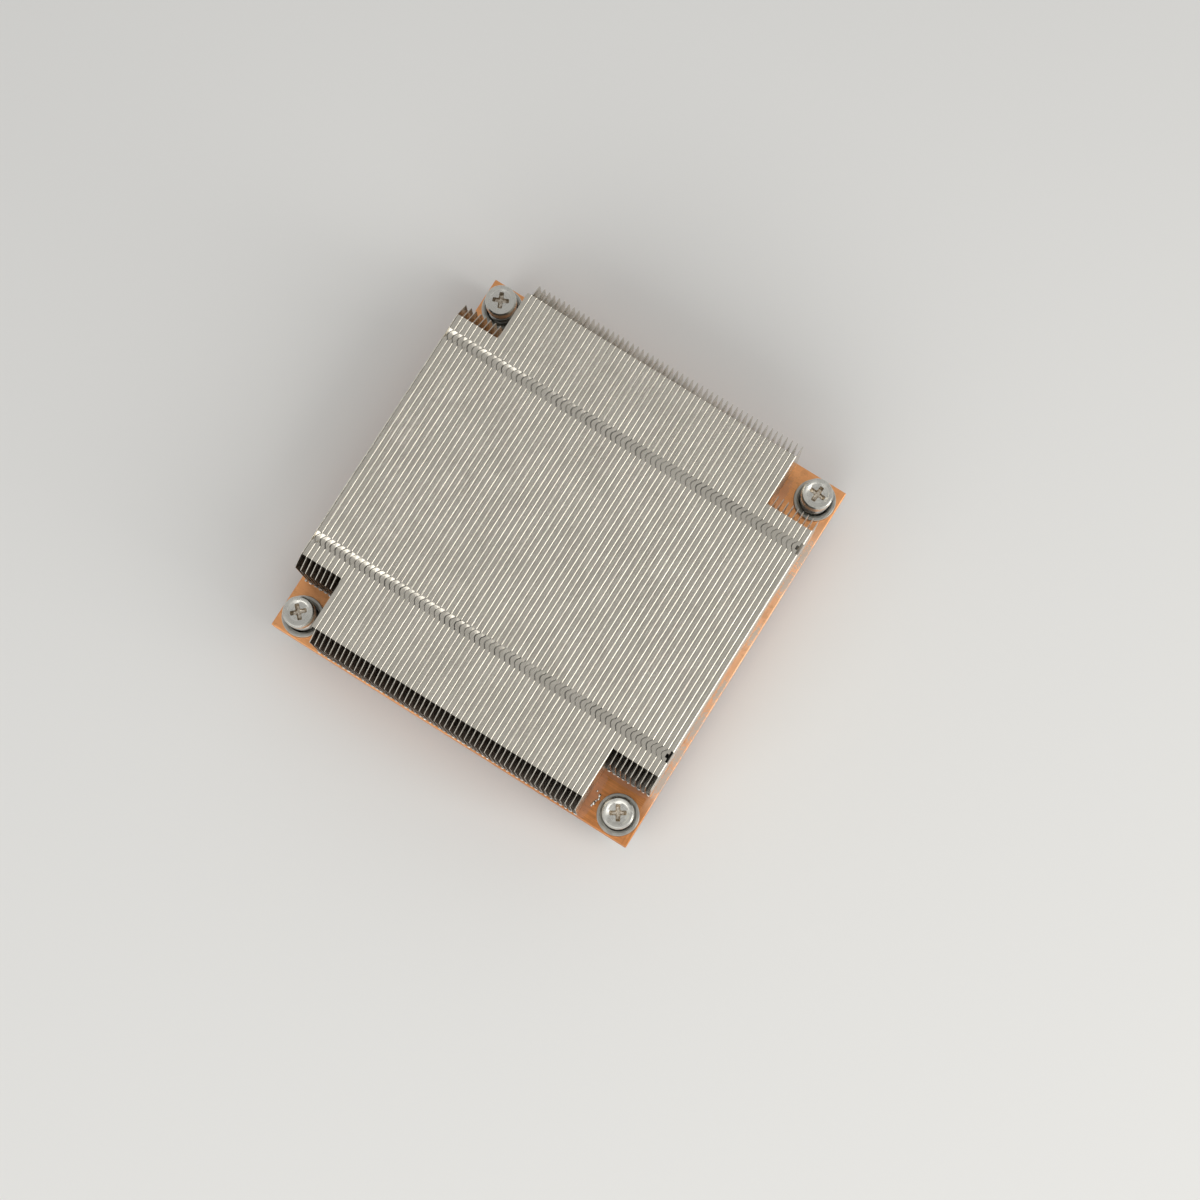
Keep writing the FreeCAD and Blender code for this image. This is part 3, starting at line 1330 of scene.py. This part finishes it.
@dataclass
class FinStack:
    """All the fins, set on the places of their CAD nodes."""

    long_length: float = 89.2
    short_length: float = 66.0
    fins_per_long_node: int = 3
    end_fin_shift: float = -0.1
    waviness: float = 0.006
    wavy_from: float = 22.0
    wavy_beyond: float = 20.0
    level_spread: Pair = (0.85, 1.15)
    tongue_spread: Point = (0.04, 0.05, 0.06)
    tongue_reach: float = 1.6
    seed: int = 7
    press: RowPress = RowPress()
    first_tongue: HookOutline = HookOutline(0.15, 0.32, 1.2, 1.1, 0.9)
    last_window: HookOutline = HookOutline(0.66, 1.2, 1.3, 0.47, 0.46)
    material: Material | None = None
    pressed: dict[tuple[str, int], Bench] = field(default_factory=dict)

    def build(self) -> None:
        """Models the kinds of fin and copies them along the stack."""
        self.material = AluminiumFinish().material()
        short = self.short_length
        patterns = {
            "long": FinShape(self.long_length).build("long_fin_pattern"),
            "short": FinShape(short).build("short_fin_pattern"),
            "first": FinShape(short, tongue=self.first_tongue).build("first_fin_pattern"),
            "last": FinShape(short, window=self.last_window).build("last_fin_pattern"),
            "flat": FinShape(short, flanged=False).build("end_fin_pattern"),
        }
        fins = sorted(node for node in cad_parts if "_fin" in node)
        kinds = {"end_fin": "flat", "short_fin_left_1": "first"}
        kinds[max(fins, key=lambda node: node_box(node)[1].x)] = "last"
        chance = random.Random(self.seed)
        for node in fins:
            is_long = node.startswith("long")
            for step in range(self.fins_per_long_node if is_long else 1):
                kind = kinds.get(node, "long" if is_long else "short")
                self.place(patterns[kind], node, step, chance)
        for pattern in (*patterns.values(), *self.pressed.values()):
            pattern.scrap()

    def pressed_copy(self, pattern: Bench, level: int) -> Bench:
        """A pattern with its rows pressed, made once for each setting of the tool.

        Args:
            pattern: The fin before it is pressed.
            level: The tool's setting.

        Returns:
            The pressed pattern.
        """
        key = (pattern.piece.name, level)
        if key not in self.pressed:
            self.pressed[key] = pattern.copied(f"{key[0]}_{level}", (0.0, 0.0, 0.0))
            self.press.apply(self.pressed[key], level)
            self.pressed[key].polish(40.0)
        return self.pressed[key]

    def place(self, pattern: Bench, node: str, step: int, chance: random.Random) -> None:
        """Copies a fin to its place.

        Args:
            pattern: The fin that is copied.
            node: The CAD node that it stands for.
            step: Which fin of the node it is, counted from the right.
            chance: The source of the small differences between fins.
        """
        right = node_box(node)[1].x - step * FinShape.pitch
        name = f"{node}_{step + 1}" if node.startswith("long") else f"{node}_sheet"
        if node == "end_fin":
            fin = pattern.copied(name, (right + self.end_fin_shift, 0.0, 0.0))
        else:
            level = self.press.level_at(right, chance.uniform(*self.level_spread))
            fin = self.pressed_copy(pattern, level).copied(name, (right, 0.0, 0.0))
            self.vary(fin, right, chance)
        fin.dress(self.material)
        fin.set_down("heatsink", "fin_aluminium", node)

    def vary(self, fin: Bench, right: float, chance: random.Random) -> None:
        """Sets one fin's fold and tongues a little out of line, as hand-stacked sheets are.

        Args:
            fin: The fin.
            right: Its wall's place along the stack.
            chance: The source of the small differences.
        """

        def at_end(vertex: bmesh.types.BMVert) -> bool:
            """Whether a vertex is high up at one end of the fin."""
            return vertex.co.z > self.wavy_from and side * vertex.co.y > self.wavy_beyond

        def in_tongue(vertex: bmesh.types.BMVert) -> bool:
            """Whether a vertex belongs to the tongue of one row."""
            beyond = vertex.co.x < right - FinShape.pitch - 0.1 and vertex.co.z > RowPress.fold_z
            return beyond and abs(vertex.co.y - side * FinShape.row) < self.tongue_reach

        for side in (1, -1):
            fin.nudge(at_end, (chance.uniform(-self.waviness, self.waviness), 0.0, 0.0))
        for side in (-1, 1):
            x, y, z = self.tongue_spread
            move = (chance.uniform(-x, x), chance.uniform(-y, y), -z * chance.uniform(0.0, 1.0))
            fin.nudge(in_tongue, move)


# ---------------------------------------------------------------- plate and solder


@dataclass
class BasePlate:
    """The copper plate with its four cup holes."""

    edge_break: float = 0.18
    hole_radius: float = 4.6
    hole_offset: float = 40.0
    cutter_depth: float = 20.0

    def build(self) -> Piece:
        """Models and dresses the plate.

        Returns:
            The copper plate.
        """
        low, high = node_box("base_plate")
        plate = Bench.start("copper_plate", tuple(high - low), tuple((low + high) / 2))
        plate.ease(self.edge_break, 3)
        for corner in Corner:
            side_x, side_y = corner.value
            put_down()
            bpy.ops.mesh.primitive_cylinder_add(
                vertices=64,
                radius=self.hole_radius,
                depth=self.cutter_depth,
                location=(side_x * self.hole_offset, side_y * self.hole_offset, 0.0),
            )
            bpy.ops.object.transform_apply(location=True, rotation=True, scale=True)
            plate.cut_out(Bench(bpy.context.object, "hole_cutter"))
        plate.polish()
        plate.dress(CopperFinish().material(), anew=True)
        return plate.set_down("heatsink", "copper", "base_plate")


@dataclass
class SolderWork:
    """The beads of solder at the ends of the fins' feet, and the drips in one corner."""

    plate_top: float = 5.0
    bead_radius: float = 0.34
    pitch: float = 1.225
    stack_right: float = 43.6375
    fins: int = 72
    short_fins: int = 9
    long_end: float = 44.6
    short_end: float = 33.0
    long_reach: float = 0.22
    short_reach: float = 0.34
    foot_middle: float = 0.5
    foot_gap: float = 0.03
    sideways: float = 0.12
    size_spread: Pair = (0.7, 1.15)
    reach_spread: Pair = (0.7, 1.1)
    widening: float = 1.5
    lengthening: float = 1.3
    flattening: float = 0.8
    cut_below: float = 0.35
    seed: int = 21
    drips: tuple[Point, ...] = (
        (34.5, -38.6, 0.34),
        (34.75, -39.3, 0.3),
        (34.45, -39.9, 0.26),
        (34.3, -40.6, 0.4),
        (34.1, -41.2, 0.28),
        (33.6, -38.0, 0.22),
    )

    def build(self) -> Piece:
        """Models one bead, copies it to every foot and joins them.

        Returns:
            All the solder as one piece.
        """
        put_down()
        bpy.ops.mesh.primitive_ico_sphere_add(subdivisions=2, radius=1.0)
        pattern = Bench(bpy.context.object, "solder_bead_pattern")
        pattern.cut(lambda face: True, (0.0, 0.0, -self.cut_below), (0.0, 0.0, -1.0), clear=True)
        put_down()
        for number, (spot, shape) in enumerate((*self.beads_at_feet(), *self.drips_in_corner())):
            bead = pattern.copied(f"bead_{number}", (0.0, 0.0, 0.0))
            place = Matrix.Translation((*spot, self.plate_top))
            bead.piece.data.transform(place @ Matrix.Diagonal((*shape, 1.0)))
            bead.piece.select_set(True)
            bpy.context.view_layer.objects.active = bead.piece
        bpy.ops.object.join()
        beads = Bench(bpy.context.object, "solder_beads")
        pattern.scrap()
        beads.polish(60.0)
        beads.dress(TIN_SOLDER.material())
        return beads.set_down("heatsink", None)

    def beads_at_feet(self) -> Iterator[tuple[Pair, Point]]:
        """Places the beads at the fins' feet.

        Returns:
            Each bead's place on the plate and its half sizes.
        """
        chance = random.Random(self.seed)
        for index in range(self.fins):
            is_long = self.short_fins <= index < self.fins - self.short_fins
            end = self.long_end if is_long else self.short_end
            reach = self.long_reach if is_long else self.short_reach
            x = self.stack_right - (self.fins - 1 - index) * self.pitch - self.foot_middle
            for side in (-1, 1):
                size = self.bead_radius * chance.uniform(*self.size_spread)
                length = reach * chance.uniform(*self.reach_spread)
                aside = chance.uniform(-self.sideways, self.sideways)
                spot = (x + aside, side * (end + self.foot_gap))
                yield spot, (size * self.widening, length, size * self.flattening)

    def drips_in_corner(self) -> Iterator[tuple[Pair, Point]]:
        """The place on the plate and the half sizes of each drip."""
        for x, y, size in self.drips:
            yield (x, y), (size, size * self.lengthening, size * self.flattening)


# ---------------------------------------------------------------- fasteners


@dataclass(frozen=True)
class Station:
    """One corner of the plate, with the axis that its screw stands on."""

    corner: Corner
    axis: Point

    @classmethod
    def at(cls, corner: Corner) -> "Station":
        """Reads a corner's axis from its screw's CAD node.

        Args:
            corner: The corner.

        Returns:
            Its station.
        """
        low, high = node_box(f"captive_screw_{corner.label}")
        middle = (low + high) / 2
        return cls(corner, (middle.x, middle.y, 0.0))

    @property
    def label(self) -> str:
        """The corner's name as the CAD nodes write it."""
        return self.corner.label

    def finish(self, metal: TurnedMetalFinish) -> Material:
        """A turned metal's finish about this axis."""
        return metal.material(self.label, self.axis)


@dataclass
class SpringCup:
    """The turned cup that carries the spring, pressed through the plate."""

    rim_z: float = 6.1
    outer: float = 4.55
    bore: float = 3.45
    floor_z: float = -0.8
    foot_z: float = -1.6
    hole: float = 2.3
    lip: float = 0.42
    ring_grooves: Pair = (4.08, 4.3)
    ring_depth: float = 0.05
    groove_width: float = 0.1
    edge_break: float = 0.03

    def build(self, station: Station) -> Piece:
        """Models and dresses one cup.

        Args:
            station: Its corner and axis.

        Returns:
            The finished object.
        """
        profile = [
            (self.bore, self.rim_z - self.lip),
            (self.bore + 0.08, self.rim_z - self.lip * 0.4),
            (self.bore + self.lip, self.rim_z),
            *self.grooves(),
            (self.outer - 0.1, self.rim_z),
            (self.outer, self.rim_z - 0.1),
            (self.outer, self.foot_z),
            (self.hole, self.foot_z),
            (self.hole, self.floor_z),
            (self.bore, self.floor_z),
        ]
        cup = Bench.turned("cup_pattern", profile, 64, EdgeBreak.SHARP)
        cup.ease(self.edge_break, 1, 60.0)
        cup.polish()
        cup = cup.moved(f"spring_cup_{station.label}", station.axis)
        cup.dress(station.finish(CUP_STEEL))
        return cup.set_down("heatsink", "cup_steel", "spring_cups")

    def grooves(self) -> Iterator[Pair]:
        """Outlines the two turned grooves of the rim.

        Returns:
            Radius and height of each point.
        """
        half = self.groove_width / 2
        for radius in self.ring_grooves:
            for step, depth in ((-half, 0.0), (0.0, self.ring_depth), (half, 0.0)):
                yield radius + step, self.rim_z - depth


@dataclass
class CoilSpring:
    """A round-wire compression spring with flat end turns."""

    outer: float = 3.2
    wire: float = 0.9
    low_z: float = -0.8
    length: float = 11.2
    active_turns: float = 3.0
    end_turns: float = 0.75
    travel: float = 3.0
    even_rise: float = 0.85
    wire_share: float = 0.97
    points_per_turn: int = 24

    def line(self, axis: Point) -> list[Point]:
        """The wire's centre line.

        Args:
            axis: Where the spring's axis stands.

        Returns:
            Its points from the bottom to the top.
        """
        turns = self.active_turns + 2 * self.end_turns
        count = int(turns * self.points_per_turn)
        radius = self.outer - self.wire / 2
        points = []
        for step in range(count + 1):
            turn = step / self.points_per_turn
            share = (turn - self.end_turns / 2) / (self.active_turns + self.end_turns)
            share = min(max(share, 0.0), 1.0)
            gentle = share * share * (3 - 2 * share)
            share = share * self.even_rise + gentle * (1.0 - self.even_rise)
            angle = 2 * math.pi * turn
            x, y = axis[0] + radius * math.cos(angle), axis[1] + radius * math.sin(angle)
            points.append((x, y, self.low_z + self.wire / 2 + (self.length - self.wire) * share))
        return points

    def build(self, station: Station) -> Piece:
        """Models and dresses one spring.

        Args:
            station: Its corner and axis.

        Returns:
            The finished object.
        """
        curve = bpy.data.curves.new("spring_line", "CURVE")
        curve.dimensions = "3D"
        curve.bevel_depth = self.wire / 2 * self.wire_share
        curve.bevel_resolution = 4
        curve.use_fill_caps = True
        spline = curve.splines.new("POLY")
        points = self.line(station.axis)
        spline.points.add(len(points) - 1)
        for point, place in zip(spline.points, points):
            point.co = (*place, 1.0)
        coil = bpy.data.objects.new("spring_coil", curve)
        bpy.context.scene.collection.objects.link(coil)
        put_down()
        coil.select_set(True)
        bpy.context.view_layer.objects.active = coil
        bpy.ops.object.convert(target="MESH")
        spring = Bench(bpy.context.object, f"coil_spring_{station.label}")
        spring.outward()
        spring.polish(50.0)
        spring.dress(station.finish(SPRING_STEEL), anew=True)
        made = spring.set_down("heatsink", "spring_steel", f"spring_{station.label}")
        x, y, _ = station.axis
        f"screw_press_{station.label}"
        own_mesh(made)
        return made


@dataclass
class CaptiveScrew:
    """A screw with a tall dished head, a cross recess, and a thread below the plate."""

    head_radius: float = 3.4
    head_top: float = 13.4
    head_under: float = 10.4
    shank: float = 1.8
    thread_outer: float = 2.0
    thread_core: float = 1.62
    thread_pitch: float = 0.7
    thread_flank: float = 0.4
    thread_flat: float = 0.12
    thread_sunk: float = 0.1
    thread_end: float = 0.2
    groove: float = 1.55
    groove_top: float = -1.55
    groove_foot: float = -2.25
    tip_z: float = -6.5
    dish_radius: float = 2.35
    dish_depth: float = 0.22
    recess_span: float = 4.3
    recess_arm: float = 1.15
    recess_depth: float = 1.2
    recess_taper: float = 0.6
    recess_ease: float = 0.2
    cutter_above: float = 0.4

    def build(self, station: Station, turn: float, darker_finish: Material) -> Piece:
        """Models and dresses one screw.

        Args:
            station: Its corner and axis.
            turn: How far its cross is turned, in degrees.
            darker_finish: The finish inside the recess.

        Returns:
            The finished object.
        """
        plating = station.finish(NICKEL_PLATE)
        body = Bench.turned("screw_pattern", self.profile(), 64)
        body.dress(plating)
        body.cut_out(self.cross(darker_finish))
        body.polish(35.0)
        thread = self.thread()
        thread.polish(40.0)
        thread.dress(plating)
        put_down()
        for piece in (thread.piece, body.piece):
            piece.select_set(True)
        bpy.context.view_layer.objects.active = body.piece
        bpy.ops.object.join()
        body.piece.data.transform(Matrix.Rotation(math.radians(turn), 4, "Z"))
        node = f"captive_screw_{station.label}"
        placed = body.moved(f"{node}_plated", station.axis)
        return placed.set_down(f"screw_{station.label}", "screw_nickel", node)

    def profile(self) -> list[Pair]:
        """Outlines the screw, from the dished face down.

        Returns:
            Radius and height of each point.
        """
        top = self.head_top
        return [
            (0.0, top - self.dish_depth),
            (self.dish_radius - 0.4, top - self.dish_depth),
            (self.dish_radius, top - 0.1),
            (self.dish_radius + 0.35, top),
            (self.head_radius - 0.3, top),
            (self.head_radius, top - 0.3),
            (self.head_radius, self.head_under + 0.2),
            (self.head_radius - 0.2, self.head_under),
            (self.shank, self.head_under),
            (self.shank, self.groove_top),
            (self.groove, self.groove_top),
            (self.groove, self.groove_foot),
            (self.thread_outer, self.groove_foot),
            (self.thread_outer, self.groove_foot - 0.15),
            (self.thread_core, self.groove_foot - 0.4),
            (self.thread_core, self.tip_z + 0.25),
            (self.thread_core - 0.3, self.tip_z),
            (0.0, self.tip_z),
        ]

    def cross(self, darker_finish: Material) -> Bench:
        """The tapered cross that is cut from the head.

        Args:
            darker_finish: The finish that it leaves on the recess.

        Returns:
            The bench with the cutter.
        """
        arm, height = self.recess_arm, self.cutter_above + self.recess_depth
        low_z = self.head_top - self.recess_depth
        cutter = Bench.start("cross_cutter", (arm, arm, height), (0.0, 0.0, low_z + height / 2))
        if cutter.select("FACE", lambda face: abs(face.normal.z) < 0.3):
            reach = (self.recess_span - arm) / 2
            bpy.ops.mesh.extrude_faces_move(TRANSFORM_OT_shrink_fatten={"value": reach})
        narrowed = (self.recess_taper, self.recess_taper, 1.0)
        cutter.pinch(lambda vertex: vertex.co.z < low_z + 0.01, narrowed, (0.0, 0.0, low_z))
        cutter.outward()
        cutter.ease(self.recess_ease, 3, 60.0)
        cutter.dress(darker_finish)
        return cutter

    def thread(self) -> Bench:
        """Winds the thread as a ridge round its core.

        Returns:
            The thread's piece.
        """
        pitch, sunk = self.thread_pitch, self.thread_sunk
        flank, flat = pitch * self.thread_flank, pitch * self.thread_flat
        start = self.groove_foot - 0.35 - pitch
        ridge = Bench.from_point("thread_ridge", (self.thread_core - sunk, 0.0, start))
        crest = self.thread_outer - self.thread_core + sunk
        for outward, rise in ((crest, flank), (0.0, flat), (-crest, flank)):
            move = (outward, 0.0, rise)
            bpy.ops.mesh.extrude_region_move(TRANSFORM_OT_translate={"value": move})
        put_down()
        ridge.modify(
            "SCREW",
            axis="Z",
            angle=2 * math.pi,
            screw_offset=-pitch,
            iterations=int((start - self.tip_z - self.thread_end) / pitch),
            steps=28,
            render_steps=28,
        )
        ridge.outward()
        return ridge


@dataclass
class RetainingRing:
    """The open ring that snaps into the screw's groove."""

    outer: float = 3.1
    inner: float = 1.6
    top_z: float = -1.6
    thick: float = 0.6
    mouth: float = 3.0
    cutter_height: float = 3.0
    edge_break: float = 0.07

    def build(self, station: Station) -> Piece:
        """Models and dresses one ring.

        Args:
            station: Its corner and axis.

        Returns:
            The finished object.
        """
        low_z = self.top_z - self.thick
        profile = [
            (self.inner, self.top_z),
            (self.outer, self.top_z),
            (self.outer, low_z),
            (self.inner, low_z),
        ]
        ring = Bench.turned("ring_pattern", profile, 56, EdgeBreak.SHARP)
        mouth = (2 * self.outer, self.mouth, self.cutter_height)
        ring.cut_out(Bench.start("mouth_cutter", mouth, (self.outer, 0.0, low_z)))
        ring.ease(self.edge_break, 2)
        ring.polish()
        node = f"retaining_ring_{station.label}"
        ring = ring.moved(f"{node}_plated", station.axis)
        ring.dress(station.finish(RING_STEEL), anew=True)
        return ring.set_down(f"retainer_{station.label}", "ring_steel", node)


@dataclass
class Fasteners:
    """The four sprung screws with their cups, springs and rings."""

    turns: dict[Corner, float] = field(
        default_factory=lambda: {
            Corner.FRONT_LEFT: 44.0,
            Corner.FRONT_RIGHT: 32.0,
            Corner.BACK_RIGHT: -4.0,
            Corner.BACK_LEFT: 24.0,
        }
    )

    def build(self) -> None:
        """Builds every corner."""
        darker_finish = WORN_RECESS.material()
        for corner in Corner:
            station = Station.at(corner)
            SpringCup().build(station)
            CoilSpring().build(station)
            CaptiveScrew().build(station, self.turns[corner], darker_finish)
            RetainingRing().build(station)


# ---------------------------------------------------------------- studio


@dataclass(frozen=True)
class Lamp:
    """One soft rectangular lamp that points at the heatsink, in metres and watts."""

    name: str
    place: Point
    size: Pair
    power: float
    colour: Colour = (1.0, 1.0, 1.0)

    def hang(self) -> None:
        """Puts the lamp up."""
        light = bpy.data.lights.new(self.name, "AREA")
        light.shape = "RECTANGLE"
        light.size, light.size_y = self.size
        light.energy = self.power
        light.color = self.colour
        lamp = bpy.data.objects.new(self.name, light)
        lamp.location = self.place
        lamp.rotation_euler = (-Vector(self.place)).to_track_quat("-Z", "Y").to_euler()
        bpy.context.scene.collection.objects.link(lamp)


@dataclass
class Studio:
    """A pale floor, soft lamps and the camera."""

    floor_size: float = 6.0
    lens: float = 72.643
    sensor: float = 36.0
    eye: Point = (0.0550, -0.0612, 0.5213)
    turn: Point = (3.0293, 0.0822, 0.5557)
    world_level: float = 0.5
    world_colour: Colour = (1.0, 0.995, 0.985)
    lamps: tuple[Lamp, ...] = (
        Lamp("right_softbox", (0.60, 0.07, 0.42), (0.30, 0.8), 2.5, (1.0, 0.985, 0.95)),
        Lamp("front_softbox", (0.05, -0.50, 0.50), (0.8, 0.5), 2.1, (1.0, 0.99, 0.96)),
    )

    def build(self) -> None:
        """Sets up the studio."""
        size = (self.floor_size, self.floor_size, 1.0)
        floor = Bench.start("studio_floor", size, (0.0, 0.0, CAD_BOX[0].z), flat=True)
        floor.dress(FloorFinish().material())
        floor.piece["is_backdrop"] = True
        for lamp in self.lamps:
            lamp.hang()
        self.light_the_room()
        self.set_camera()
        bpy.context.scene.view_settings.view_transform = "Standard"

    def light_the_room(self) -> None:
        """Gives the room an even soft light."""
        world = bpy.data.worlds.new("soft_room")
        world.use_nodes = True
        world.node_tree.nodes.clear()
        sheet = NodeSheet(world.node_tree)
        inputs = {"Color": opaque(self.world_colour), "Strength": self.world_level}
        room = sheet.add("Background", inputs)
        sheet.add("OutputWorld", {"Surface": room.outputs[0]})
        bpy.context.scene.world = world

    def set_camera(self) -> None:
        """Places the camera nearly overhead, turned so that the stack lies at a slant."""
        data = bpy.data.cameras.new("camera")
        data.lens, data.sensor_width = self.lens, self.sensor
        data.clip_start, data.clip_end = 0.01, 20.0
        camera = bpy.data.objects.new("camera", data)
        turns = zip(self.turn, "XYZ")
        about_x, about_y, about_z = (Matrix.Rotation(angle, 3, axis) for angle, axis in turns)
        view = about_z @ about_y @ about_x
        placed = (view.transposed() @ Matrix.Diagonal((1.0, -1.0, -1.0))).to_4x4()
        placed.translation = Vector(self.eye)
        camera.matrix_world = placed
        bpy.context.scene.collection.objects.link(camera)
        bpy.context.scene.camera = camera


def write_sizes() -> None:
    """Works out the CAD model's box and the dressed model's box, but neither writes nor keeps them.
    """
    boxes = {"cad": CAD_BOX, "visual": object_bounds()}
    {name: [list(corner) for corner in box] for name, box in boxes.items()}


def main() -> None:
    """Builds the heatsink's pieces in order, then the studio."""
    logging.basicConfig(level=logging.INFO, format="%(name)s: %(message)s")
    BasePlate().build()
    FinStack().build()
    SolderWork().build()
    Fasteners().build()
    Studio().build()
    put_down()
    write_sizes()


if __name__ == "__main__":
    main()
